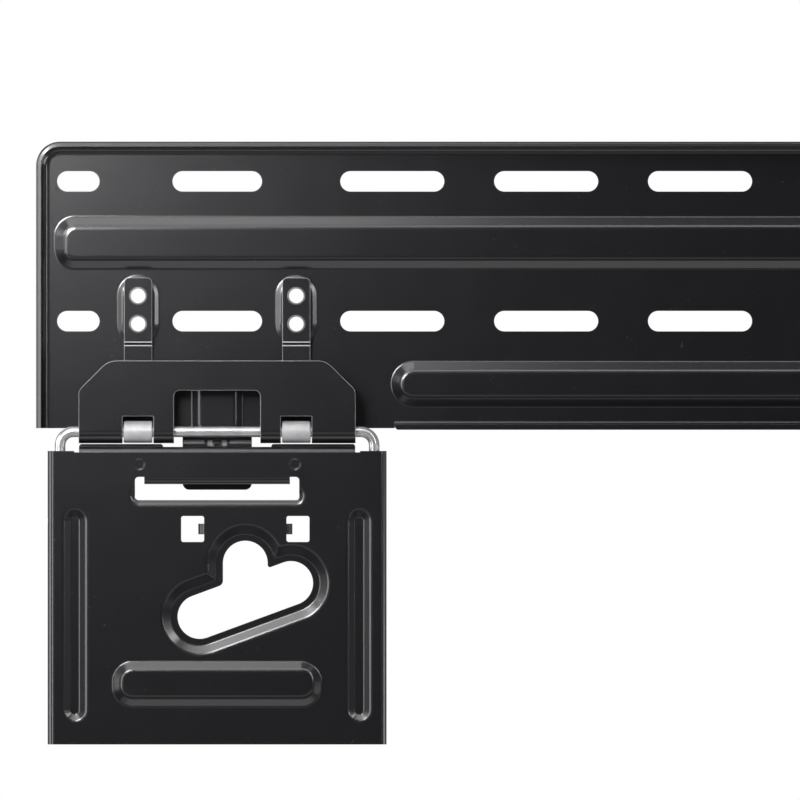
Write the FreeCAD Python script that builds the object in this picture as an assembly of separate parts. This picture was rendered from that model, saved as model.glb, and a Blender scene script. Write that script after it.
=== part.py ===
"""Slim wall mount for a television: a pressed wall plate that carries two hanger plates on wire hinges.

Frame: X along the wall plate, Z up, the wall in the plane Y = 0 and the room towards -Y. The origin
is the middle of the wall plate's back. A depth is a distance from the wall, so it lies at Y = -depth.
All sizes are in millimetres.
"""
import FreeCAD
import Part
import math
import os

# Wall plate: one pressed sheet with a rim folded forward along its top and sides
PLATE_LENGTH = 584.0
PLATE_HEIGHT = 126.0
PLATE_SHEET = 2.3
PLATE_CORNER = 10.5
PLATE_BEND = 3.6
RIM_DEPTH = 10.0
RIM_EDGE_DROP = 0.55
RIM_EDGE_LAND = 0.3
RIM_EDGE_ROUND = 1.1
FOOT_FLANGE_LENGTH = 268.8
FOOT_FLANGE_BEND = 1.8
FOOT_FLANGE_DROP = 0.7
FOOT_FLANGE_CHAMFER = 1.2

# Slots for the wall screws, in two rows
SLOT_WIDTH = 9.0
UPPER_SLOT_Z = 45.6
SLOT_ROW_SPACING = 61.5
SLOT_PITCH = 67.7
SLOT_LENGTH = 45.8
HANGER_SLOT_LENGTH = 39.4
END_SLOT_X = 273.5
END_SLOT_LENGTH = 18.7

# Bends of every pressed form, inside the sheet
PRESS_BEND = 1.9

# Stiffening beads, pressed forward
BEAD_HEIGHT = 3.0
BEAD_SLOPE = 4.6
UPPER_BEAD_END_MARGIN = 8.2
UPPER_BEAD_WIDTH = 23.1
UPPER_BEAD_Z = 18.55
UPPER_BEAD_CORNER = 8.8
LOWER_BEAD_LENGTH = 271.8
LOWER_BEAD_WIDTH = 20.1
LOWER_BEAD_Z = -43.55

# Hangers: places shared by a bracket, its wire and its hanger plate
HANGER_X = 212.4
RING_SPACING = 400.0
STRAP_X = 34.8
GAP = 0.3

# Rivet pads and eyelets
PAD_HEIGHT = 1.0
PAD_SLOPE = 2.6
PAD_RADIUS = 9.2
UPPER_EYELET_Z = -4.8
EYELET_SPACING = 12.35
EYELET_BORE = 3.2
EYELET_WALL = 0.35
EYELET_FIT = 0.05
EYELET_LIP = 0.5
EYELET_LIP_BEVEL = 0.35
EYELET_FRONT_RADIUS = 4.0
EYELET_BACK_RADIUS = 4.7

# Hinge bracket: one folded sheet
BRACKET_SHEET = 2.0
BRACKET_SIDE_INSET = 13.65
LEAF_TOP_Z = -33.3
LEAF_CHAMFER = 13.0
LEAF_TOP_ROUND = 9.0
LEAF_SIDE_ROUND = 4.5
BACK_LEAF_DROP = 3.7
STRAP_WIDTH = 12.3
STRAP_TOP_Z = 3.2
STRAP_ROUND = 2.2
JOGGLE_TOP_Z = -25.1
JOGGLE_LENGTH = 1.5
JOGGLE_ROUND = 0.8
WINDOW_NOTCH_WIDTH = 38.0
WINDOW_NOTCH_TOP_Z = -46.4
WINDOW_NOTCH_ROUND = 2.6
TONGUE_WIDTH = 30.5
TONGUE_BOTTOM_Z = -90.1
TONGUE_ROUND = 3.0
TONGUE_STEP = 0.5
TONGUE_STEP_TOP_Z = -68.2
TONGUE_STEP_LENGTH = 1.2
TONGUE_STEP_ROUND = 1.8
RIB_WIDTH = 22.4
RIB_SLOPE = 3.3
RIB_HEIGHT = 1.9
RIB_END_ROUND = 6.0
RIB_TOP_Z = -40.0
RIB_STEP_MARGIN = 1.3
DART_WIDTH = 6.4
DART_SLOPE = 1.6
DART_HEIGHT = 1.4
DART_LENGTH = 6.0
DART_ROUND = 2.6
DART_STEP_MARGIN = 0.4

# Hinge wire and bushes
WIRE_RADIUS = 2.35
WIRE_Z = -64.6
WIRE_FIT = 0.15
WIRE_LEG_INSET = 5.45
WIRE_BEND = 5.9
WIRE_END_Z = -104.0
WIRE_END_BEND = 3.2
WIRE_END_INSET = 0.05
BUSH_RADIUS = 4.85
BUSH_LENGTH = 12.6
BUSH_END_PLAY = 0.5
BUSH_FIT = 0.05
BUSH_CHAMFER = 0.4
BUSH_NOTCH_ABOVE = 2.0

# Hanger plate: one folded and pressed sheet
HANGER_SHEET = 2.0
HANGER_WIDTH = 149.0
HANGER_BEND = 1.0
HANGER_WALL_CLEARANCE = 1.0
SHOULDER_Z = -73.0
HANGER_BOTTOM_Z = -202.0
CROWN_Z = -71.2
CROWN_SIDE_INSET = 13.8
CROWN_RELIEF = 2.1
CROWN_RELIEF_Z = -73.6
CROWN_REAR_GAP = 0.6
EAR_TOP_Z = -69.95
EAR_INNER_X = 23.8
EAR_BEHIND_WIRE = 3.0
EAR_ROUND = 1.2
DIMPLE_RADIUS = 2.7
DIMPLE_SLOPE = 0.8
DIMPLE_DEPTH = 0.5
DIMPLE_X = 34.2
DIMPLE_Z = -78.8
WINDOW_WIDTH = 72.2
WINDOW_TOP_Z = -84.4
WINDOW_BOTTOM_Z = -94.6
WINDOW_ROUND = 1.6
LIP_WIDTH = 64.0
LIP_Z = -87.6
WINDOW_BAND = 2.1
WINDOW_BAND_DEPTH = 1.2
WINDOW_BAND_TOP_Z = -88.7
WINDOW_BAND_ROUND = 3.8

# Two catch holes beside the ring hole's axis, each with a tab turned back
CATCH_NEAR_X = 18.1
CATCH_WIDTH = 10.1
CATCH_TOP_Z = -101.6
CATCH_HEIGHT = 11.4
CATCH_ROUND = 1.0
CATCH_TAB_HEIGHT = 4.7
CATCH_TAB_REACH = 2.6
CATCH_TAB_DEPTH = 6.0

# Ring hole: an upper lobe joined to a slanted slot, in a pressed dish
RING_LOBE_RADIUS = 9.83
RING_LOBE_Z = -122.3
RING_SLOT_RADIUS = 9.7
RING_SLOT_LENGTH = 42.8
RING_SLOT_Z = -138.5
RING_SLOT_ANGLE = 20.2
RING_OUTER_ROUND = 2.7
RING_INNER_ROUND = 1.0
DISH_RIM = 2.9
DISH_SLOPE = 4.2
DISH_DEPTH = 1.9
DISH_CORNER = 4.0

# Grooves beside the hanger plate's flanges and the bead across its foot
GROOVE_SIDE_INSET = 12.0
GROOVE_WIDTH = 10.4
GROOVE_SLOPE = 3.4
GROOVE_DEPTH = 1.6
GROOVE_TOP_Z = -98.6
GROOVE_END_MARGIN = 10.0
FOOT_BEAD_SIDE_INSET = 28.5
FOOT_BEAD_TOP_Z = -165.4
FOOT_BEAD_WIDTH = 20.0
FOOT_BEAD_ROUND = 9.0
FOOT_BEAD_SLOPE = 4.0
FOOT_BEAD_HEIGHT = 2.5

# Tabs cut from the hanger plate's flanges and turned in behind the wire's legs
KEEPER_Z = -87.0
KEEPER_HEIGHT = 8.0
KEEPER_LENGTH = 5.0
KEEPER_SLIT = 4.0

# Widths and depths that follow from the sizes above
BRACKET_WIDTH = HANGER_WIDTH - 2 * BRACKET_SIDE_INSET
CROWN_WIDTH = HANGER_WIDTH - 2 * CROWN_SIDE_INSET
WIRE_LEG_X = HANGER_WIDTH / 2 - WIRE_LEG_INSET
GROOVE_X = HANGER_WIDTH / 2 - GROOVE_SIDE_INSET
FOOT_BEAD_LENGTH = HANGER_WIDTH - 2 * FOOT_BEAD_SIDE_INSET
PAD_DEPTH = PLATE_SHEET + PAD_HEIGHT
BACK_LEAF_DEPTH = PLATE_SHEET
TONGUE_FRONT = BACK_LEAF_DEPTH + BRACKET_SHEET
WIRE_DEPTH = TONGUE_FRONT + RIB_HEIGHT + GAP + WIRE_RADIUS
FRONT_LEAF_DEPTH = WIRE_DEPTH + WIRE_RADIUS + GAP
FOLD_INNER = (FRONT_LEAF_DEPTH - TONGUE_FRONT) / 2
FOLD_OUTER = FOLD_INNER + BRACKET_SHEET
FOLD_DEPTH = TONGUE_FRONT + FOLD_INNER
WIRE_PLAY = FOLD_INNER - WIRE_RADIUS - WIRE_FIT
FOLD_Z = WIRE_Z + math.sqrt(WIRE_PLAY ** 2 - (WIRE_DEPTH - FOLD_DEPTH) ** 2)
HANGER_FRONT = FRONT_LEAF_DEPTH + BRACKET_SHEET
HANGER_BACK = HANGER_FRONT - HANGER_SHEET
RING_X = HANGER_X - RING_SPACING / 2
BEYOND = 1.0
TOUCH = 0.001


def at(x, depth, z):
    """Point at a distance from the wall."""
    return FreeCAD.Vector(x, -depth, z)


def front_view(depth):
    """Places the two values of an outline as x and z at one depth."""
    return lambda x, z: at(x, depth, z)


def side_view(x):
    """Places the two values of an outline as depth and z at one x."""
    return lambda depth, z: at(x, depth, z)


def plan_view(z):
    """Places the two values of an outline as x and depth at one height."""
    return lambda x, depth: at(x, depth, z)


def rounded_outline(corners, place):
    """Closed outline through (a, b, radius) corners, each rounded by its own radius."""
    points = [place(a, b) for a, b, radius in corners]
    spans = []
    for i, (a, b, radius) in enumerate(corners):
        here = points[i]
        back = (points[i - 1] - here).normalize()
        ahead = (points[(i + 1) % len(points)] - here).normalize()
        half = back.getAngle(ahead) / 2
        reach = radius / math.tan(half)
        middle = here + (back + ahead).normalize() * (radius / math.sin(half) - radius)
        spans.append((here + back * reach, middle, here + ahead * reach))
    edges = []
    for i, (start, middle, end) in enumerate(spans):
        if corners[i][2] > 0:
            edges.append(Part.Arc(start, middle, end).toShape())
        following = spans[(i + 1) % len(spans)][0]
        if end.distanceToPoint(following) > 1e-6:
            edges.append(Part.makeLine(end, following))
    return Part.Wire(edges)


def rectangle(x0, x1, z0, z1, radius):
    """Corners of an upright rectangle with one corner radius."""
    return [(x0, z0, radius), (x1, z0, radius), (x1, z1, radius), (x0, z1, radius)]


def capsule(start, end, radius, depth):
    """Outline at one radius round the line between two (x, z) points."""
    (x0, z0), (x1, z1) = start, end
    length = math.hypot(x1 - x0, z1 - z0)
    along = ((x1 - x0) / length, (z1 - z0) / length)

    def point(x, z, forward, aside):
        return at(x + radius * (along[0] * forward - along[1] * aside), depth,
                  z + radius * (along[1] * forward + along[0] * aside))

    return Part.Wire([
        Part.makeLine(point(x0, z0, 0, -1), point(x1, z1, 0, -1)),
        Part.Arc(point(x1, z1, 0, -1), point(x1, z1, 1, 0), point(x1, z1, 0, 1)).toShape(),
        Part.makeLine(point(x1, z1, 0, 1), point(x0, z0, 0, 1)),
        Part.Arc(point(x0, z0, 0, 1), point(x0, z0, -1, 0), point(x0, z0, 0, -1)).toShape(),
    ])


def through(outline, depth_from, depth_to):
    """Solid between two depths with the outline that outline(depth) gives."""
    return Part.Face(outline(depth_from)).extrude(at(0, depth_to - depth_from, 0))


def plate_from(corners, depth_from, depth_to):
    """Flat plate between two depths with rounded corners."""
    return through(lambda depth: rounded_outline(corners, front_view(depth)), depth_from, depth_to)


def bar_along_x(corners, x_from, x_to):
    """Folded strip: a side profile carried along X."""
    profile = Part.Face(rounded_outline(corners, side_view(x_from)))
    return profile.extrude(FreeCAD.Vector(x_to - x_from, 0, 0))


def bar_along_z(corners, z_from, z_to):
    """Folded strip: a plan profile carried upwards."""
    profile = Part.Face(rounded_outline(corners, plan_view(z_from)))
    return profile.extrude(FreeCAD.Vector(0, 0, z_to - z_from))


def block(x0, x1, depth0, depth1, z0, z1):
    """Box between two values each way."""
    return Part.makeBox(x1 - x0, depth1 - depth0, z1 - z0, at(x0, depth1, z0))


def rod_along_y(x, z, radius, depth_from, depth_to):
    """Round bar that points out of the wall."""
    return Part.makeCylinder(radius, depth_to - depth_from, at(x, depth_from, z), at(0, 1, 0))


def frustum(outline, inset_from, depth_from, inset_to, depth_to):
    """Tapered solid between two insets of one outline."""
    return Part.makeLoft([outline(inset_from, depth_from), outline(inset_to, depth_to)], True, True)


def pressed_pair(outline, back, sheet, height, slope):
    """What a press adds to a sheet and takes from it, at one thickness over the slope.

    The sheet lies between the depths back and back + sheet. A positive height is pressed forward and a
    negative one towards the wall. outline(inset, depth) is the outline of the pressed form's foot.
    """
    front = back + sheet
    shift = sheet * math.tan(math.atan(abs(height) / slope) / 2)
    if height > 0:
        added = frustum(outline, 0, front, slope, front + height)
        taken = frustum(outline, shift, back, slope + shift, back + height)
    else:
        added = frustum(outline, -shift, back, slope - shift, back + height)
        taken = frustum(outline, 0, front, slope, front + height)
    return added, taken


def bent_edges(solid, tool, depth):
    """Edges of a solid at one depth that the tool left there."""
    skin = tool.Shells[0]
    found = []
    for edge in solid.Edges:
        box = edge.BoundBox
        if max(abs(box.YMin + depth), abs(box.YMax + depth)) < TOUCH:
            middle = edge.valueAt(sum(edge.ParameterRange) / 2)
            if skin.distToShape(Part.Vertex(middle))[0] < TOUCH:
                found.append(edge)
    return found


def press_pair(solid, added, taken, back, sheet, height):
    """The solid with a form pressed into its sheet and its bends rounded on both faces."""
    front = back + sheet
    formed = solid.fuse(added).cut(taken)
    fore, rear = (added, taken) if height > 0 else (taken, added)
    inner, outer = PRESS_BEND, PRESS_BEND + sheet
    hollow, proud = (inner, outer) if height > 0 else (outer, inner)
    for tool, depth, radius in ((fore, front, hollow), (fore, front + height, proud),
                                (rear, back, proud), (rear, back + height, hollow)):
        formed = formed.makeFillet(radius, bent_edges(formed, tool, depth))
    return formed


def press(solid, outline, back, sheet, height, slope):
    """The solid with one form of a single outline pressed into its sheet."""
    added, taken = pressed_pair(outline, back, sheet, height, slope)
    return press_pair(solid, added, taken, back, sheet, height)


def rectangle_foot(x0, x1, z0, z1, radius):
    """Foot outline of a rectangular pressed form."""
    return lambda inset, depth: rounded_outline(
        rectangle(x0 + inset, x1 - inset, z0 + inset, z1 - inset, radius - inset), front_view(depth))


def capsule_foot(start, end, radius):
    """Foot outline of a pressed form with round ends."""
    return lambda inset, depth: capsule(start, end, radius - inset, depth)


def slot_places():
    """Centre x and length of each slot in a row."""
    columns = [(SLOT_PITCH, SLOT_LENGTH), (2 * SLOT_PITCH, SLOT_LENGTH),
               (HANGER_X, HANGER_SLOT_LENGTH), (END_SLOT_X, END_SLOT_LENGTH)]
    return [(0.0, SLOT_LENGTH)] + [(side * x, length) for x, length in columns for side in (-1, 1)]


def eyelet_heights():
    """The two heights of the eyelets in a strap."""
    return (UPPER_EYELET_Z, UPPER_EYELET_Z - EYELET_SPACING)


def wall_plate():
    """Pressed wall plate, its back flat on the wall."""
    half = PLATE_LENGTH / 2
    top = PLATE_HEIGHT / 2
    tray = rimmed_tray(half, top)
    tray = add_foot_flange(tray, -top)
    upper_half = half - UPPER_BEAD_END_MARGIN
    tray = press(tray, rectangle_foot(-upper_half, upper_half, UPPER_BEAD_Z - UPPER_BEAD_WIDTH / 2,
                                      UPPER_BEAD_Z + UPPER_BEAD_WIDTH / 2, UPPER_BEAD_CORNER),
                 0, PLATE_SHEET, BEAD_HEIGHT, BEAD_SLOPE)
    lower_reach = (LOWER_BEAD_LENGTH - LOWER_BEAD_WIDTH) / 2
    tray = press(tray, capsule_foot((-lower_reach, LOWER_BEAD_Z), (lower_reach, LOWER_BEAD_Z),
                                    LOWER_BEAD_WIDTH / 2), 0, PLATE_SHEET, BEAD_HEIGHT, BEAD_SLOPE)
    upper, lower = eyelet_heights()
    for side in (-1, 1):
        for strap in (-STRAP_X, STRAP_X):
            x = side * HANGER_X + strap
            tray = press(tray, capsule_foot((x, lower), (x, upper), PAD_RADIUS),
                         0, PLATE_SHEET, PAD_HEIGHT, PAD_SLOPE)
            for z in (upper, lower):
                tray = tray.cut(rod_along_y(x, z, EYELET_BORE + EYELET_WALL + EYELET_FIT, 0, RIM_DEPTH))
    for z in (UPPER_SLOT_Z, UPPER_SLOT_Z - SLOT_ROW_SPACING):
        for x, length in slot_places():
            reach = (length - SLOT_WIDTH) / 2
            tray = tray.cut(through(lambda depth: capsule((x - reach, z), (x + reach, z),
                                                          SLOT_WIDTH / 2, depth), -BEYOND, RIM_DEPTH))
    return tray


def rimmed_tray(half, top):
    """Flat sheet with its rim folded forward at the top and both sides, the rim's edge bevelled outwards."""
    below = -top - RIM_DEPTH

    def outline(inset, depth):
        return rounded_outline([(inset - half, below, 0), (half - inset, below, 0),
                                (half - inset, top - inset, PLATE_CORNER - inset),
                                (inset - half, top - inset, PLATE_CORNER - inset)], front_view(depth))

    def folds(solid, depth):
        return [edge for edge in solid.Edges if edge.BoundBox.ZMax > below + BEYOND and
                max(abs(edge.BoundBox.YMin + depth), abs(edge.BoundBox.YMax + depth)) < TOUCH]

    bevel = RIM_DEPTH - RIM_EDGE_DROP
    outer = through(lambda depth: outline(0, depth), 0, bevel)
    outer = outer.fuse(frustum(outline, 0, bevel, PLATE_SHEET - RIM_EDGE_LAND, RIM_DEPTH))
    outer = outer.makeFillet(PLATE_BEND + PLATE_SHEET, folds(outer, 0))
    outer = outer.makeFillet(RIM_EDGE_ROUND, folds(outer, bevel))
    inner = through(lambda depth: outline(PLATE_SHEET, depth), PLATE_SHEET, RIM_DEPTH + BEYOND)
    inner = inner.makeFillet(PLATE_BEND, folds(inner, PLATE_SHEET))
    return outer.cut(inner).cut(block(-half - BEYOND, half + BEYOND, -BEYOND, RIM_DEPTH + BEYOND,
                                      below - BEYOND, -top))


def add_foot_flange(tray, bottom):
    """The tray with the middle of its lower edge folded forward."""
    reach = FOOT_FLANGE_LENGTH / 2
    low = bottom - FOOT_FLANGE_DROP
    outer_bend = FOOT_FLANGE_BEND + PLATE_SHEET
    root = bottom + 2 * outer_bend
    flange = bar_along_x([(0, root, 0), (0, low, outer_bend), (RIM_DEPTH, low, 0),
                          (RIM_DEPTH, low + PLATE_SHEET, 0),
                          (PLATE_SHEET, low + PLATE_SHEET, FOOT_FLANGE_BEND),
                          (PLATE_SHEET, root, 0)], -reach, reach)
    kept = plate_from([(-reach, root, 0), (-reach, low + FOOT_FLANGE_CHAMFER, 0),
                       (-reach + FOOT_FLANGE_CHAMFER, low, 0), (reach - FOOT_FLANGE_CHAMFER, low, 0),
                       (reach, low + FOOT_FLANGE_CHAMFER, 0), (reach, root, 0)], -BEYOND, RIM_DEPTH + BEYOND)
    removed = block(-reach, reach, -BEYOND, RIM_DEPTH + BEYOND, low - BEYOND, root)
    return tray.cut(removed).fuse(flange.common(kept)).removeSplitter()


def bracket_strap(x):
    """Strap that climbs from the back leaf, steps up onto its rivet pad and holds two eyelets."""
    low, high = BACK_LEAF_DEPTH, PAD_DEPTH
    root = LEAF_TOP_Z - BACK_LEAF_DROP - BRACKET_SHEET
    step_foot = JOGGLE_TOP_Z - JOGGLE_LENGTH
    side = [(low, root, 0), (low, step_foot, JOGGLE_ROUND), (high, JOGGLE_TOP_Z, JOGGLE_ROUND),
            (high, STRAP_TOP_Z, 0), (high + BRACKET_SHEET, STRAP_TOP_Z, 0),
            (high + BRACKET_SHEET, JOGGLE_TOP_Z, JOGGLE_ROUND),
            (low + BRACKET_SHEET, step_foot, JOGGLE_ROUND), (low + BRACKET_SHEET, root, 0)]
    strap = bar_along_x(side, x - STRAP_WIDTH / 2, x + STRAP_WIDTH / 2)
    strap = strap.common(plate_from([(x - STRAP_WIDTH / 2, root, 0), (x + STRAP_WIDTH / 2, root, 0),
                                     (x + STRAP_WIDTH / 2, STRAP_TOP_Z, STRAP_ROUND),
                                     (x - STRAP_WIDTH / 2, STRAP_TOP_Z, STRAP_ROUND)], 0, HANGER_FRONT))
    for z in eyelet_heights():
        strap = strap.cut(rod_along_y(x, z, EYELET_BORE + EYELET_WALL + EYELET_FIT, 0, HANGER_FRONT))
    return strap


def stop_tongue(tongue, root):
    """Lower part of the stop tongue: it steps forward across a dart and ends in round corners."""
    low, high = BACK_LEAF_DEPTH, BACK_LEAF_DEPTH + TONGUE_STEP
    foot = TONGUE_STEP_TOP_Z - TONGUE_STEP_LENGTH
    side = [(low, root, 0), (low, TONGUE_STEP_TOP_Z, TONGUE_STEP_ROUND), (high, foot, TONGUE_STEP_ROUND),
            (high, TONGUE_BOTTOM_Z, 0), (high + BRACKET_SHEET, TONGUE_BOTTOM_Z, 0),
            (high + BRACKET_SHEET, foot, TONGUE_STEP_ROUND),
            (low + BRACKET_SHEET, TONGUE_STEP_TOP_Z, TONGUE_STEP_ROUND), (low + BRACKET_SHEET, root, 0)]
    strip = bar_along_x(side, -tongue, tongue)
    strip = strip.common(plate_from([(-tongue, TONGUE_BOTTOM_Z, TONGUE_ROUND),
                                     (tongue, TONGUE_BOTTOM_Z, TONGUE_ROUND), (tongue, root, 0),
                                     (-tongue, root, 0)], 0, HANGER_FRONT))
    dart = DART_WIDTH / 2
    dart_top = TONGUE_STEP_TOP_Z + DART_STEP_MARGIN
    outline = rectangle_foot(-dart, dart, dart_top - DART_LENGTH, dart_top, DART_ROUND)
    lean = DART_SLOPE / DART_HEIGHT
    shift = BRACKET_SHEET * math.tan(math.atan(1 / lean) / 2)
    front = low + BRACKET_SHEET
    added = frustum(outline, -lean * TONGUE_STEP, front - TONGUE_STEP, DART_SLOPE, front + DART_HEIGHT)
    taken = frustum(outline, shift - lean * BEYOND, low - BEYOND, shift + DART_SLOPE, low + DART_HEIGHT)
    return strip.fuse(added).cut(taken)


def hinge_bracket():
    """Folded hinge bracket: front leaf, fold round the wire, back leaf with straps and stop tongue."""
    half = BRACKET_WIDTH / 2
    notch = WINDOW_NOTCH_WIDTH / 2
    tongue = TONGUE_WIDTH / 2
    tongue_root = TONGUE_STEP_TOP_Z + RIB_STEP_MARGIN / 2

    def shoulders(top):
        side_top = top - LEAF_CHAMFER
        return [(half, side_top, LEAF_SIDE_ROUND), (half - LEAF_CHAMFER, top, LEAF_TOP_ROUND),
                (LEAF_CHAMFER - half, top, LEAF_TOP_ROUND), (-half, side_top, LEAF_SIDE_ROUND)]

    front = plate_from([(-half, FOLD_Z, 0), (-notch, FOLD_Z, 0),
                        (-notch, WINDOW_NOTCH_TOP_Z, WINDOW_NOTCH_ROUND),
                        (notch, WINDOW_NOTCH_TOP_Z, WINDOW_NOTCH_ROUND), (notch, FOLD_Z, 0),
                        (half, FOLD_Z, 0)] + shoulders(LEAF_TOP_Z),
                       FRONT_LEAF_DEPTH, FRONT_LEAF_DEPTH + BRACKET_SHEET)
    back = plate_from([(-half, FOLD_Z, 0), (-tongue, FOLD_Z, 0), (-tongue, tongue_root, 0),
                       (tongue, tongue_root, 0), (tongue, FOLD_Z, 0),
                       (half, FOLD_Z, 0)] + shoulders(LEAF_TOP_Z - BACK_LEAF_DROP),
                      BACK_LEAF_DEPTH, TONGUE_FRONT)
    rib = RIB_WIDTH / 2
    rib_foot = TONGUE_STEP_TOP_Z + RIB_STEP_MARGIN
    back = press(back, rectangle_foot(-rib, rib, rib_foot, RIB_TOP_Z, RIB_END_ROUND),
                 BACK_LEAF_DEPTH, BRACKET_SHEET, RIB_HEIGHT, RIB_SLOPE)
    along = FreeCAD.Vector(1, 0, 0)
    knuckles = []
    for x_from, x_to in ((-half, -notch), (notch, half)):
        tube = Part.makeCylinder(FOLD_OUTER, x_to - x_from, at(x_from, FOLD_DEPTH, FOLD_Z), along)
        bore = Part.makeCylinder(FOLD_INNER, x_to - x_from, at(x_from, FOLD_DEPTH, FOLD_Z), along)
        upper = block(x_from, x_to, 0, 2 * FOLD_DEPTH, FOLD_Z, FOLD_Z + 2 * FOLD_OUTER)
        knuckles.append(tube.cut(bore).cut(upper))
    straps = [bracket_strap(-STRAP_X), bracket_strap(STRAP_X)]
    bracket = back.fuse([front, stop_tongue(tongue, tongue_root)] + knuckles + straps).removeSplitter()
    bush_notch = BUSH_LENGTH / 2 + BUSH_END_PLAY
    for x in (-STRAP_X, STRAP_X):
        bracket = bracket.cut(block(x - bush_notch, x + bush_notch, 0, HANGER_FRONT + BEYOND,
                                    WIRE_Z - 2 * FOLD_OUTER, WIRE_Z + BUSH_RADIUS + BUSH_NOTCH_ABOVE))
    return bracket


def hinge_wire():
    """Bent wire that runs through the bracket's fold and down behind the hanger plate's sides."""
    end_x = HANGER_WIDTH / 2 - WIRE_END_INSET
    route = [(-end_x, WIRE_END_Z, 0), (-WIRE_LEG_X, WIRE_END_Z, WIRE_END_BEND),
             (-WIRE_LEG_X, WIRE_Z, WIRE_BEND), (WIRE_LEG_X, WIRE_Z, WIRE_BEND),
             (WIRE_LEG_X, WIRE_END_Z, WIRE_END_BEND), (end_x, WIRE_END_Z, 0)]
    path = open_route(route, front_view(WIRE_DEPTH))
    start = at(-end_x, WIRE_DEPTH, WIRE_END_Z)
    section = Part.Wire(Part.makeCircle(WIRE_RADIUS, start, FreeCAD.Vector(1, 0, 0)))
    return path.makePipeShell([section], True, False)


def open_route(corners, place):
    """Straight runs joined by arcs through (a, b, radius) corners, open at both ends."""
    edges = []
    last = place(corners[0][0], corners[0][1])
    for before, (a, b, radius), after in zip(corners, corners[1:], corners[2:]):
        here = place(a, b)
        back = (place(before[0], before[1]) - here).normalize()
        ahead = (place(after[0], after[1]) - here).normalize()
        half = back.getAngle(ahead) / 2
        reach = radius / math.tan(half)
        middle = here + (back + ahead).normalize() * (radius / math.sin(half) - radius)
        edges.append(Part.makeLine(last, here + back * reach))
        edges.append(Part.Arc(here + back * reach, middle, here + ahead * reach).toShape())
        last = here + ahead * reach
    edges.append(Part.makeLine(last, place(corners[-1][0], corners[-1][1])))
    return Part.Wire(edges)


def bush(x):
    """Plated sleeve on the wire, between two knuckles of the bracket."""
    start = at(x - BUSH_LENGTH / 2, WIRE_DEPTH, WIRE_Z)
    along = FreeCAD.Vector(1, 0, 0)
    sleeve = Part.makeCylinder(BUSH_RADIUS, BUSH_LENGTH, start, along)
    rims = [edge for edge in sleeve.Edges if edge.BoundBox.XLength < 1e-6]
    sleeve = sleeve.makeChamfer(BUSH_CHAMFER, rims)
    return sleeve.cut(Part.makeCylinder(WIRE_RADIUS + BUSH_FIT, BUSH_LENGTH, start, along))


def eyelet(x, z):
    """Hollow rivet that clamps a strap to its pad, with a rolled lip at each end."""
    barrel = EYELET_BORE + EYELET_WALL
    back, front = PAD_HEIGHT, PAD_DEPTH + BRACKET_SHEET
    body = rod_along_y(x, z, barrel, back - EYELET_LIP, front + EYELET_LIP)
    body = body.fuse(rod_along_y(x, z, EYELET_FRONT_RADIUS, front, front + EYELET_LIP))
    body = body.fuse(rod_along_y(x, z, EYELET_BACK_RADIUS, back - EYELET_LIP, back)).removeSplitter()
    rolled = [edge for edge in body.Edges
              if abs(edge.BoundBox.YMin + front + EYELET_LIP) < 1e-6 and edge.BoundBox.YLength < 1e-6]
    body = body.makeChamfer(EYELET_LIP_BEVEL, rolled)
    return body.cut(rod_along_y(x, z, EYELET_BORE, 0, HANGER_FRONT))


def hanger_channel():
    """Hanger plate's front and side flanges, with the crown folded back along its top."""
    half = HANGER_WIDTH / 2
    inner = half - HANGER_SHEET
    bend = HANGER_BEND + HANGER_SHEET
    channel = bar_along_z([(-half, HANGER_WALL_CLEARANCE, 0), (-half, HANGER_FRONT, bend),
                           (half, HANGER_FRONT, bend), (half, HANGER_WALL_CLEARANCE, 0),
                           (inner, HANGER_WALL_CLEARANCE, 0), (inner, HANGER_BACK, HANGER_BEND),
                           (-inner, HANGER_BACK, HANGER_BEND), (-inner, HANGER_WALL_CLEARANCE, 0)],
                          HANGER_BOTTOM_Z, SHOULDER_Z)
    crown = CROWN_WIDTH / 2
    root = CROWN_Z - 2 * bend
    channel = channel.cut(block(-crown - CROWN_RELIEF, crown + CROWN_RELIEF, HANGER_WALL_CLEARANCE,
                                HANGER_FRONT + BEYOND, CROWN_RELIEF_Z, SHOULDER_Z + BEYOND))
    rear = TONGUE_FRONT + RIB_HEIGHT + CROWN_REAR_GAP
    fold = bar_along_x([(HANGER_FRONT, root, 0), (HANGER_FRONT, CROWN_Z, bend), (rear, CROWN_Z, 0),
                        (rear, CROWN_Z - HANGER_SHEET, 0), (HANGER_BACK, CROWN_Z - HANGER_SHEET, HANGER_BEND),
                        (HANGER_BACK, root, 0)], -crown, crown)
    ears = []
    ear_back = WIRE_DEPTH - EAR_BEHIND_WIRE
    for x_from, x_to in ((-crown, -EAR_INNER_X), (EAR_INNER_X, crown)):
        upright = plate_from([(x_from, CROWN_Z - HANGER_SHEET, 0), (x_to, CROWN_Z - HANGER_SHEET, 0),
                              (x_to, EAR_TOP_Z, EAR_ROUND), (x_from, EAR_TOP_Z, EAR_ROUND)],
                             ear_back, ear_back + HANGER_SHEET)
        ears.append(upright)
    return channel.fuse([fold] + ears).removeSplitter()


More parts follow.
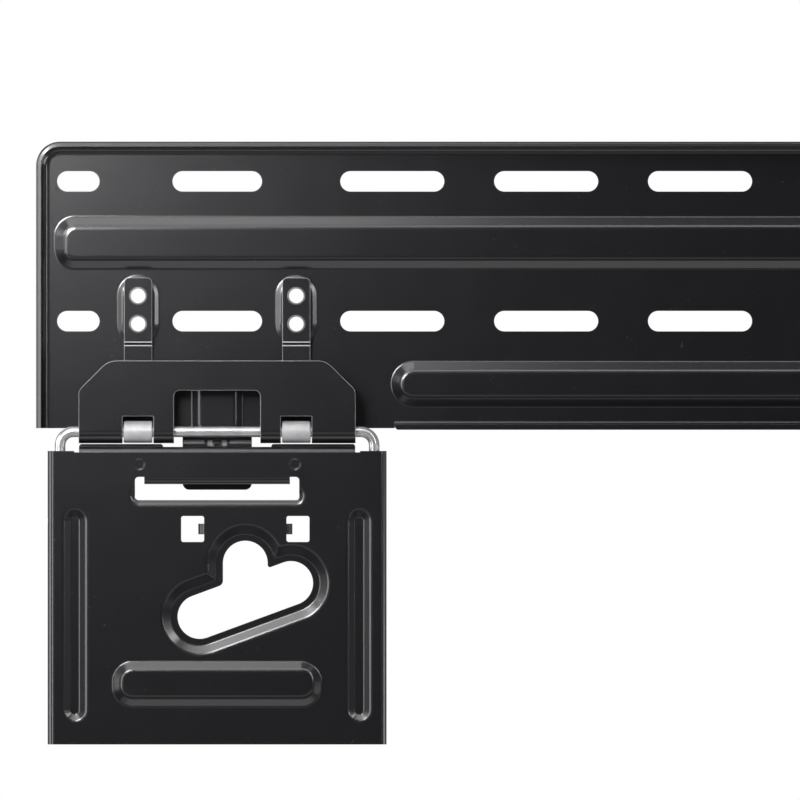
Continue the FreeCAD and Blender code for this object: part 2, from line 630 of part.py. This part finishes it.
def hanger_window(plate):
    """The plate with its stop window: a lip folded back along the top and a recessed band round it."""
    half = WINDOW_WIDTH / 2
    band = half + WINDOW_BAND
    plate = press(plate, rectangle_foot(-band, band, WINDOW_BOTTOM_Z - WINDOW_BAND, WINDOW_BAND_TOP_Z,
                                        WINDOW_BAND_ROUND),
                  HANGER_BACK, HANGER_SHEET, -WINDOW_BAND_DEPTH, WINDOW_BAND)
    plate = plate.cut(plate_from(rectangle(-half, half, WINDOW_BOTTOM_Z, WINDOW_TOP_Z, WINDOW_ROUND),
                                 0, HANGER_FRONT + BEYOND))
    bend = HANGER_BEND + HANGER_SHEET
    root = LIP_Z + 2 * bend
    rear = TONGUE_FRONT + TONGUE_STEP + GAP
    lip = bar_along_x([(HANGER_FRONT, root, 0), (HANGER_FRONT, LIP_Z, bend), (rear, LIP_Z, 0),
                       (rear, LIP_Z + HANGER_SHEET, 0), (HANGER_BACK, LIP_Z + HANGER_SHEET, HANGER_BEND),
                       (HANGER_BACK, root, 0)], -LIP_WIDTH / 2, LIP_WIDTH / 2)
    return plate.fuse(lip).removeSplitter()


def catch_holes(plate):
    """The plate with a square hole each side of the ring hole's axis, each with a tab turned back."""
    bend = HANGER_BEND + HANGER_SHEET
    middle = CATCH_TOP_Z - CATCH_HEIGHT / 2
    for side in (-1, 1):
        near = RING_X + side * CATCH_NEAR_X
        far = near + side * CATCH_WIDTH
        plate = plate.cut(plate_from(rectangle(min(near, far), max(near, far), CATCH_TOP_Z - CATCH_HEIGHT,
                                               CATCH_TOP_Z, CATCH_ROUND), 0, HANGER_FRONT + BEYOND))
        tip = near + side * CATCH_TAB_REACH
        rear = HANGER_FRONT - CATCH_TAB_DEPTH
        root = near - side * bend
        tab = bar_along_z([(root, HANGER_FRONT, 0), (tip, HANGER_FRONT, bend), (tip, rear, 0),
                           (tip - side * HANGER_SHEET, rear, 0),
                           (tip - side * HANGER_SHEET, HANGER_BACK, HANGER_BEND), (root, HANGER_BACK, 0)],
                          middle - CATCH_TAB_HEIGHT / 2, middle + CATCH_TAB_HEIGHT / 2)
        plate = plate.fuse(tab)
    return plate.removeSplitter()


def ring_pair(shape, lobe_radius, slot_radius):
    """The lobe and the slot of the ring hole, as shape(start, end, radius) makes each of them."""
    angle = math.radians(RING_SLOT_ANGLE)
    along = RING_SLOT_LENGTH / 2 * math.cos(angle)
    up = RING_SLOT_LENGTH / 2 * math.sin(angle)
    lobe_foot = RING_SLOT_Z + RING_SLOT_RADIUS / 2
    lobe = shape((RING_X, lobe_foot), (RING_X, RING_LOBE_Z), lobe_radius)
    slot = shape((RING_X - along, RING_SLOT_Z - up), (RING_X + along, RING_SLOT_Z + up), slot_radius)
    return lobe, slot


def joined(lobe, slot, outer_round, inner_round):
    """Lobe and slot in one solid, with the corners between them rounded."""
    solid = lobe.fuse(slot)
    for side, radius in ((-1, outer_round), (1, inner_round)):
        corner = []
        for edge in solid.Edges:
            middle = edge.valueAt(sum(edge.ParameterRange) / 2)
            spot = Part.Vertex(middle)
            on_both = max(shape.Shells[0].distToShape(spot)[0] for shape in (lobe, slot)) < TOUCH
            if on_both and edge.BoundBox.YLength > TOUCH and (middle.x - RING_X) * side > 0:
                corner.append(edge)
        solid = solid.makeFillet(radius, corner)
    return solid


def ring_hole(plate):
    """The plate with the ring hole, an upper lobe joined to a slanted slot, in its pressed dish."""
    def dish(start, end, radius):
        foot = capsule_foot(start, end, radius + DISH_RIM + DISH_SLOPE)
        return pressed_pair(foot, HANGER_BACK, HANGER_SHEET, -DISH_DEPTH, DISH_SLOPE)

    def cut(start, end, radius):
        return through(lambda depth: capsule(start, end, radius, depth), 0, HANGER_FRONT + BEYOND)

    lobe, slot = ring_pair(dish, RING_LOBE_RADIUS, RING_SLOT_RADIUS)
    added, taken = (joined(*pair, DISH_CORNER, DISH_CORNER) for pair in zip(lobe, slot))
    plate = press_pair(plate, added, taken, HANGER_BACK, HANGER_SHEET, -DISH_DEPTH)
    hole = joined(*ring_pair(cut, RING_LOBE_RADIUS, RING_SLOT_RADIUS), RING_OUTER_ROUND, RING_INNER_ROUND)
    return plate.cut(hole)


def hanger_plate():
    """Hanger plate with its window, catch holes, ring hole, dimples, grooves, bead and wire seats."""
    plate = hanger_channel()
    foot = FOOT_BEAD_LENGTH / 2
    plate = press(plate, rectangle_foot(-foot, foot, FOOT_BEAD_TOP_Z - FOOT_BEAD_WIDTH, FOOT_BEAD_TOP_Z,
                                        FOOT_BEAD_ROUND),
                  HANGER_BACK, HANGER_SHEET, FOOT_BEAD_HEIGHT, FOOT_BEAD_SLOPE)
    for x in (-GROOVE_X, GROOVE_X):
        radius = GROOVE_WIDTH / 2
        plate = press(plate, capsule_foot((x, HANGER_BOTTOM_Z + GROOVE_END_MARGIN + radius),
                                          (x, GROOVE_TOP_Z - radius), radius),
                      HANGER_BACK, HANGER_SHEET, -GROOVE_DEPTH, GROOVE_SLOPE)
    plate = ring_hole(plate)
    plate = hanger_window(plate)
    plate = catch_holes(plate)
    for x in (-DIMPLE_X, DIMPLE_X):
        boss, dimple = (Part.makeCone(DIMPLE_RADIUS, DIMPLE_RADIUS - DIMPLE_SLOPE, DIMPLE_DEPTH,
                                      at(x, depth, DIMPLE_Z), at(0, -1, 0))
                        for depth in (HANGER_BACK, HANGER_FRONT))
        plate = plate.fuse(boss).cut(dimple)
    return wire_seats(plate)


def wire_seats(plate):
    """The plate with a hole for each wire end in its flanges and a keeper tab behind each leg."""
    half = HANGER_WIDTH / 2
    keeper_front = WIRE_DEPTH - WIRE_RADIUS - GAP
    for side in (-1, 1):
        inner = side * (half - HANGER_SHEET)
        outer = side * half
        x0, x1 = min(inner, outer), max(inner, outer)
        plate = plate.cut(Part.makeCylinder(WIRE_RADIUS + WIRE_FIT, 2 * (HANGER_SHEET + HANGER_BEND),
                                            at(x0 - HANGER_BEND - HANGER_SHEET, WIRE_DEPTH, WIRE_END_Z),
                                            FreeCAD.Vector(1, 0, 0)))
        low, high = KEEPER_Z - KEEPER_HEIGHT / 2, KEEPER_Z + KEEPER_HEIGHT / 2
        plate = plate.cut(block(x0 - BEYOND, x1 + BEYOND, keeper_front, keeper_front + KEEPER_SLIT,
                                low, high))
        tip = inner - side * KEEPER_LENGTH
        plate = plate.fuse(block(min(tip, outer), max(tip, outer), keeper_front - HANGER_SHEET, keeper_front,
                                 low, high))
    return plate.removeSplitter()


def hanger_pieces():
    """Pieces of the left hanger about X = 0, by name."""
    pieces = {"hinge_bracket": hinge_bracket(), "hinge_wire": hinge_wire(), "hanger_plate": hanger_plate()}
    for place, x in (("outer", -STRAP_X), ("inner", STRAP_X)):
        pieces[place + "_bush"] = bush(x)
        for level, z in zip(("upper", "lower"), eyelet_heights()):
            pieces[place + "_" + level + "_eyelet"] = eyelet(x, z)
    return pieces


os.makedirs("parts", exist_ok=True)
wall_plate().exportStep("parts/wall_plate.step")
for name, piece in hanger_pieces().items():
    left = piece.translated(FreeCAD.Vector(-HANGER_X, 0, 0))
    left.exportStep("parts/left_" + name + ".step")
    right = left.mirror(FreeCAD.Vector(0, 0, 0), FreeCAD.Vector(1, 0, 0))
    right.exportStep("parts/right_" + name + ".step")
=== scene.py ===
"""Slim television wall mount in its studio: finishes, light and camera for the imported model."""
import math
import bpy
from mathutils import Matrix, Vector


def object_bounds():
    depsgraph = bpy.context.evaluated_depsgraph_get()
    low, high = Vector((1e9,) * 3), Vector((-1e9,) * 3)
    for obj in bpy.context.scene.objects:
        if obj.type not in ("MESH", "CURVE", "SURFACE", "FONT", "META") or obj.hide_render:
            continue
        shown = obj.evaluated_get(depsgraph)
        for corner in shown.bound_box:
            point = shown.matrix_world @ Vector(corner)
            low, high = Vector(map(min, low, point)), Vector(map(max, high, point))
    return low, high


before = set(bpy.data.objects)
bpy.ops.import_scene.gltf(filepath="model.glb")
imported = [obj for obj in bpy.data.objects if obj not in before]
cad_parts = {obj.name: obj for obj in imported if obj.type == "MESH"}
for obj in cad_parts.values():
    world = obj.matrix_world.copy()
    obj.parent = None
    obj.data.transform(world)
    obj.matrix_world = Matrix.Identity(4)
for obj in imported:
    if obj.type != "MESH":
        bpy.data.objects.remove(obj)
cad_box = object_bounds()

# The view: the mount is seen straight on from far away, with the left half of the wall plate and the
# left hanger in the frame. One pixel of an 800 pixel wide image shows 0.44 mm of the mount.
VIEW_WIDTH = 0.352
VIEW_MIDDLE = Vector((-0.132, 0, -0.0506))
VIEW_DISTANCE = 12.0
SENSOR = 36.0

camera = bpy.data.objects.new("camera", bpy.data.cameras.new("camera"))
bpy.context.scene.collection.objects.link(camera)
camera.data.sensor_width = SENSOR
camera.data.lens = SENSOR * VIEW_DISTANCE / VIEW_WIDTH
camera.location = VIEW_MIDDLE + Vector((0, -VIEW_DISTANCE, 0))
camera.rotation_euler = (math.pi / 2, 0, 0)
bpy.context.scene.camera = camera
bpy.context.scene.view_settings.view_transform = "Standard"


# The studio: a pale floor below the mount, a white surround behind it and soft lamps round it. A small
# lamp hangs near the mount's upper left, so the black paint pales towards that corner.
class Field:
    """One output of a material's nodes, for use in ordinary expressions."""

    def __init__(self, tree, socket=None):
        self.tree = tree
        self.socket = socket

    def node(self, kind, settings, inputs, output=0):
        """Adds a node, applies its settings, fills or links its inputs and gives back one output."""
        made = self.tree.nodes.new(kind)
        for name, value in settings.items():
            setattr(made, name, value)
        for name, value in inputs.items():
            if isinstance(value, Field):
                self.tree.links.new(value.socket, made.inputs[name])
            else:
                made.inputs[name].default_value = value
        return Field(self.tree, made.outputs[output] if made.outputs else None)

    def math(self, operation, *values):
        """Math node on the values, which are fields or numbers."""
        return self.node("ShaderNodeMath", {"operation": operation}, dict(enumerate(values)))

    def __add__(self, other):
        return self.math("ADD", self, other)

    def __radd__(self, other):
        return self.math("ADD", other, self)

    def __sub__(self, other):
        return self.math("SUBTRACT", self, other)

    def __rsub__(self, other):
        return self.math("SUBTRACT", other, self)

    def __mul__(self, other):
        return self.math("MULTIPLY", self, other)

    def __rmul__(self, other):
        return self.math("MULTIPLY", other, self)

    def __truediv__(self, other):
        return self.math("DIVIDE", self, other)

    def above(self, low, high):
        """0 below low, 1 above high and a smooth step between them."""
        return self.node("ShaderNodeMapRange", {"interpolation_type": "SMOOTHSTEP"},
                         {"Value": self, "From Min": low, "From Max": high})


def mixed(factor, first, second):
    """Colour that goes from the first to the second with the factor."""
    return factor.node("ShaderNodeMix", {"data_type": "RGBA"}, {0: factor, 6: first, 7: second}, output=2)


WHITE = (1, 1, 1, 1)
WORLD_LIGHT = 0.03
WORLD_GLOSS = 0.3
# Reflections show the white surround behind the mount's face, and it fades out in front between these
SURROUND_EDGE = (-0.4, -0.1)
FLOOR_COLOUR = (0.82, 0.82, 0.83, 1)
FLOOR_ROUGHNESS = 0.9
FLOOR_DROP = 0.9
FLOOR_HALF = 0.6
LAMP_AIM = Vector((-0.14, 0, -0.02))
# Degrees to the left of the mount's face, degrees above it, metres moved aside to the left, distance,
# width and height in metres, and the brightness of the lamp's face
LAMPS = {
    "top_softbox": (0, 66, 0.48, 1.6, 1.0, 0.45, 3.8),
    "top_strip": (0, 47, 0, 1.6, 2.2, 0.3, 4.5),
    "front_strip": (0, 32, 0.4, 1.6, 0.9, 0.16, 3.5),
    "left_softbox": (37, 4, 0, 1.5, 0.44, 0.9, 4.6),
    "right_strip": (-38, 15.5, 0, 1.5, 0.12, 0.9, 14.0),
    "left_edge_lamp": (80, 6, 0, 1.3, 0.6, 1.2, 4.5),
    "right_edge_lamp": (-80, -20, 0, 1.3, 0.6, 0.7, 5.0),
    "low_front_softbox": (0, -27, 0, 0.9, 1.4, 0.28, 0.55),
    "low_softbox": (0, -64, 0, 0.9, 1.4, 0.3, 0.6),
}
NEAR_LAMP_PLACE = (-0.415, -0.50, 0.19)
NEAR_LAMP_AIM = (-0.285, 0, 0.06)
NEAR_LAMP_SIZE = 0.2
NEAR_LAMP_BRIGHTNESS = 5.5
NEAR_LAMP_SPREAD = 64

world = bpy.data.worlds.new("studio")
bpy.context.scene.world = world
world.use_nodes = True
world.node_tree.nodes.clear()
room = Field(world.node_tree)
ray = "ShaderNodeLightPath"
from_camera = room.node(ray, {}, {}, "Is Camera Ray")
in_gloss = room.math("MAXIMUM", room.node(ray, {}, {}, "Is Glossy Ray"),
                     room.node(ray, {}, {}, "Is Transmission Ray"))
direction = room.node("ShaderNodeTexCoord", {}, {}, "Generated")
behind = room.node("ShaderNodeSeparateXYZ", {}, {0: direction}, "Y").above(*SURROUND_EDGE)
shown = room.math("MAXIMUM", from_camera, in_gloss * behind * WORLD_GLOSS)
strength = shown * (1 - WORLD_LIGHT) + WORLD_LIGHT
light = room.node("ShaderNodeBackground", {}, {"Color": WHITE, "Strength": strength})
room.node("ShaderNodeOutputWorld", {}, {"Surface": light})


def hang_lamp(name, place, aim, width, height, brightness, spread=180):
    """Soft rectangular lamp whose face has the given brightness, turned towards a point."""
    source = bpy.data.lights.new(name, "AREA")
    source.shape = "RECTANGLE"
    source.size = width
    source.size_y = height
    source.energy = brightness * math.pi * width * height
    source.spread = math.radians(spread)
    stand = bpy.data.objects.new(name, source)
    stand.location = place
    stand.rotation_euler = (Vector(aim) - stand.location).to_track_quat("-Z", "Y").to_euler()
    stand.visible_camera = False
    bpy.context.scene.collection.objects.link(stand)


for name, (left, up, aside, distance, width, height, brightness) in LAMPS.items():
    turn, rise = math.radians(left), math.radians(up)
    towards = Vector((-math.sin(turn) * math.cos(rise), -math.cos(turn) * math.cos(rise), math.sin(rise)))
    aim = LAMP_AIM - Vector((aside, 0, 0))
    hang_lamp(name, aim + towards * distance, aim, width, height, brightness)
hang_lamp("near_lamp", NEAR_LAMP_PLACE, NEAR_LAMP_AIM, NEAR_LAMP_SIZE, NEAR_LAMP_SIZE,
          NEAR_LAMP_BRIGHTNESS, NEAR_LAMP_SPREAD)

floor_z = cad_box[0].z - FLOOR_DROP
floor_mesh = bpy.data.meshes.new("floor")
floor_mesh.from_pydata([(-FLOOR_HALF, -FLOOR_HALF, floor_z), (FLOOR_HALF, -FLOOR_HALF, floor_z),
                        (FLOOR_HALF, FLOOR_HALF, floor_z), (-FLOOR_HALF, FLOOR_HALF, floor_z)],
                       [], [(0, 1, 2, 3)])
floor = bpy.data.objects.new("floor", floor_mesh)
bpy.context.scene.collection.objects.link(floor)


def finish(name):
    """New empty material and the field that its nodes are added through."""
    material = bpy.data.materials.new(name)
    material.use_nodes = True
    material.node_tree.nodes.clear()
    return material, Field(material.node_tree)


def surface(field, **inputs):
    """Closes a material with one principled shader; underscores stand for spaces in socket names."""
    shader = field.node("ShaderNodeBsdfPrincipled", {}, {k.replace("_", " "): v for k, v in inputs.items()})
    field.node("ShaderNodeOutputMaterial", {}, {"Surface": shader})


floor_paper, paper = finish("floor_paper")
surface(paper, Base_Color=FLOOR_COLOUR, Roughness=FLOOR_ROUGHNESS)
floor_mesh.materials.append(floor_paper)


# Wall plate: pressed steel sheet under a satin black powder coat. The coat has a fine even grain, a thin
# clear skin, faint specks of dust and a painted highlight along the sheet's edges. Screws hold it to the
# wall.
COAT_COLOUR = (0.0052, 0.0050, 0.0064, 1)
COAT_ROUGHNESS = 0.35
COAT_SHINE = 0.22
COAT_GRAIN = 2600.0
COAT_GRAIN_ROUGHNESS = 0.05
COAT_RELIEF = 0.16
COAT_RELIEF_DEPTH = 0.0001
POOL_GRAIN = 90.0
POOL_ROUGHNESS = 0.1
SKIN_WEIGHT = 1.0
SKIN_ROUGHNESS = 0.17
# Painted highlight: the coat is paled to this colour along cut edges, where the rounded normal turns from
# the face
EDGE_HIGHLIGHT_COLOUR = (0.10, 0.10, 0.104, 1)
EDGE_HIGHLIGHT_SHARE = 0.5
EDGE_HIGHLIGHT_TURN = (0.02, 0.16)
EDGE_ROUND = 0.00035
EDGE_SAMPLES = 6
DUST_COLOUR = (0.035, 0.035, 0.037, 1)
DUST_ROUGHNESS = 0.15
DUST_GRAIN = 700.0
DUST_DETAIL = 1.0
DUST_SPECKS = (0.72, 0.8)
DUST_PATCH_GRAIN = 60.0
DUST_PATCHES = (0.45, 0.65)
# The upper bead's outline on the plate in metres, and how far the shading eases the slopes at its ends
BEAD_END_X = 0.2838
BEAD_MIDDLE_Z = 0.01855
BEAD_HALF_WIDTH = 0.01155
BEAD_CORNER = 0.0088
BEAD_SLOPE = 0.0046
BEAD_SLOPE_SOFT = 0.0006
BEAD_EASE = 0.34
NEAR_NOTHING = 0.0001


def rounded_normal(field, radius):
    """Normal that turns smoothly over a sheet's cut edges, and how far it has turned from the face."""
    soft = field.node("ShaderNodeBevel", {"samples": EDGE_SAMPLES}, {"Radius": radius}, "Normal")
    flat = field.node("ShaderNodeNewGeometry", {}, {}, "Normal")
    agree = field.node("ShaderNodeVectorMath", {"operation": "DOT_PRODUCT"}, {0: soft, 1: flat}, "Value")
    return soft, 1 - agree


def grain(field, scale, detail=2.0):
    """Noise between 0 and 1 with cells of about 1 / scale metres."""
    place = field.node("ShaderNodeTexCoord", {}, {}, "Object")
    return field.node("ShaderNodeTexNoise", {}, {"Vector": place, "Scale": scale, "Detail": detail}, 0)


def along(field, axis):
    """Distance from the mount's origin along one axis, in metres."""
    place = field.node("ShaderNodeTexCoord", {}, {}, "Object")
    return field.node("ShaderNodeSeparateXYZ", {}, {0: place}, axis)


def eased_ends(field, normal):
    """Normal with the slopes round the upper bead's two ends turned some way back to the front."""
    x, z = along(field, "X"), along(field, "Z")
    from_middle = field.math("ABSOLUTE", z - BEAD_MIDDLE_Z)
    endwards = field.math("MAXIMUM", field.math("ABSOLUTE", x) - (BEAD_END_X - BEAD_CORNER), 0)
    sidewards = field.math("MAXIMUM", from_middle - (BEAD_HALF_WIDTH - BEAD_CORNER), 0)
    reach = field.math("SQRT", endwards * endwards + sidewards * sidewards)
    inset = BEAD_CORNER - reach
    on_slope = inset.above(0, BEAD_SLOPE_SOFT) * (1 - inset.above(BEAD_SLOPE - BEAD_SLOPE_SOFT, BEAD_SLOPE))
    push = on_slope * (endwards / (reach + NEAR_NOTHING)) * field.math("SIGN", x) * -BEAD_EASE
    inwards = field.node("ShaderNodeCombineXYZ", {}, {"X": push})
    eased = field.node("ShaderNodeVectorMath", {"operation": "ADD"}, {0: normal, 1: inwards})
    return field.node("ShaderNodeVectorMath", {"operation": "NORMALIZE"}, {0: eased})


def coat(name, highlight_colour, highlight_share, edge, bend_highlights=None, relief=None):
    """Powder coat over steel sheet, with painted highlights along the edges and on any bends given."""
    material, field = finish(name)
    soft, turned = rounded_normal(field, edge)
    if relief:
        soft = relief(field, soft)
    # Painted highlight: paler colour along the cut edges and on the bends given
    painted_highlight = turned.above(*EDGE_HIGHLIGHT_TURN) * highlight_share
    if bend_highlights:
        painted_highlight = field.math("MAXIMUM", painted_highlight, bend_highlights(field) * highlight_share)
    specks = grain(field, DUST_GRAIN, DUST_DETAIL).above(*DUST_SPECKS)
    dust = specks * grain(field, DUST_PATCH_GRAIN).above(*DUST_PATCHES)
    pooled = (grain(field, POOL_GRAIN) - 0.5) * POOL_ROUGHNESS
    fine = grain(field, COAT_GRAIN)
    bump = field.node("ShaderNodeBump", {}, {"Strength": COAT_RELIEF, "Distance": COAT_RELIEF_DEPTH,
                                             "Height": fine, "Normal": soft})
    dull = COAT_ROUGHNESS + pooled + (fine - 0.5) * COAT_GRAIN_ROUGHNESS + dust * DUST_ROUGHNESS
    surface(field, Base_Color=mixed(painted_highlight, mixed(dust, COAT_COLOUR, DUST_COLOUR), highlight_colour),
            Roughness=dull, Specular_IOR_Level=COAT_SHINE, Coat_Weight=SKIN_WEIGHT,
            Coat_Roughness=SKIN_ROUGHNESS, Normal=bump)
    return material


def dress(material, ending):
    """Gives one finish to the CAD nodes whose names have the ending."""
    for node in [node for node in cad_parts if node.endswith(ending)]:
        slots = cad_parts[node].data.materials
        slots.clear()
        slots.append(material)


dress(coat("plate_coat", EDGE_HIGHLIGHT_COLOUR, EDGE_HIGHLIGHT_SHARE, EDGE_ROUND, relief=eased_ends), "wall_plate")

# Hinge brackets: folded steel sheet with the same black coat, and painted highlights along every cut edge,
# on the two bends where each strap steps onto its pad and on the stop tongue's step, under the wire.
# Painted highlight: the brackets' coat is paled to this colour on their cut edges and bends
BRACKET_HIGHLIGHT_COLOUR = (0.40, 0.40, 0.41, 1)
BRACKET_HIGHLIGHT_SHARE = 0.95
BRACKET_EDGE_ROUND = 0.0006
# Heights of the bends with painted highlights on the mount and their reach to either side of the hinge, in
# metres
HINGE_X = 0.2124
STRAP_BENDS = ((-0.0254, -0.0249), (-0.0269, -0.0264))
STRAP_BEND_SOFT = 0.0001
TONGUE_STEP = (-0.0698, -0.0682)
TONGUE_STEP_REACH = (0.0056, 0.0150)
TONGUE_STEP_HIGHLIGHT = 0.35
TONGUE_DART = (-0.0708, -0.0682)
TONGUE_DART_REACH = (0.0020, 0.0042)
TONGUE_DART_HIGHLIGHT = 0.5
TONGUE_SOFT = 0.0003
TONGUE_REACH_SOFT = 0.0005


def within(field, span, soft):
    """1 between the span's two ends and 0 outside them, with soft ends."""
    low, high = span
    return field.above(low - soft, low + soft) * (1 - field.above(high - soft, high + soft))


def painted_bend_highlights(field):
    """How strongly the painted highlights show on the bends."""
    height = along(field, "Z")
    off_hinge = field.math("ABSOLUTE", field.math("ABSOLUTE", along(field, "X")) - HINGE_X)
    straps = sum([within(height, bend, STRAP_BEND_SOFT) for bend in STRAP_BENDS])
    step = within(height, TONGUE_STEP, TONGUE_SOFT) * within(off_hinge, TONGUE_STEP_REACH, TONGUE_REACH_SOFT)
    dart = within(height, TONGUE_DART, TONGUE_SOFT) * within(off_hinge, TONGUE_DART_REACH, TONGUE_REACH_SOFT)
    return straps + step * TONGUE_STEP_HIGHLIGHT + dart * TONGUE_DART_HIGHLIGHT


dress(coat("bracket_coat", BRACKET_HIGHLIGHT_COLOUR, BRACKET_HIGHLIGHT_SHARE, BRACKET_EDGE_ROUND, bend_highlights=painted_bend_highlights), "hinge_bracket")

# Eyelets: steel tubes with a rolled lip that rivet the brackets' straps to the pads of the wall plate.
# Their zinc plating is the dullest on the mount.
EYELET = {"grey": 0.14, "metallic": 0.3, "roughness": 0.35, "spread": 0.15}
ZINC_BLUE = 1.02
CLOUD_GRAIN = 160.0
CLOUD_DETAIL = 3.0
CLOUD_EDGE = (0.35, 0.7)
CLOUD_SHADE = 0.85


def zinc(name, grey, metallic, roughness, spread):
    """Zinc plating of one grey whose colour and gloss vary in soft clouds."""
    material, field = finish(name)
    cloud = grain(field, CLOUD_GRAIN, CLOUD_DETAIL)
    pale, dull = [(shade, shade, shade * ZINC_BLUE, 1) for shade in (grey, grey * CLOUD_SHADE)]
    surface(field, Base_Color=mixed(cloud.above(*CLOUD_EDGE), dull, pale), Metallic=metallic,
            Roughness=roughness + cloud * spread)
    return material


dress(zinc("eyelet_plating", **EYELET), "eyelet")

# Hinge wires: drawn steel wire, bent to a bail that runs through the bracket's fold and hooks into the
# hanger plate's flanges. The zinc plating is bright and smooth.
WIRE = {"grey": 0.5, "metallic": 0.7, "roughness": 0.2, "spread": 0.08}
dress(zinc("wire_plating", **WIRE), "hinge_wire")

# Bushes: turned steel sleeves on the wire, two in the notches of each bracket. Their zinc plating is
# greyer and more matt than the wire's.
BUSH = {"grey": 0.34, "metallic": 0.2, "roughness": 0.36, "spread": 0.12}
dress(zinc("bush_plating", **BUSH), "bush")

# Hanger plates: pressed steel sheet with folded flanges and the ring hole's dish, under the wall plate's
# black coat. Each hangs on its wire.
dress(coat("hanger_coat", EDGE_HIGHLIGHT_COLOUR, EDGE_HIGHLIGHT_SHARE, EDGE_ROUND), "hanger_plate")
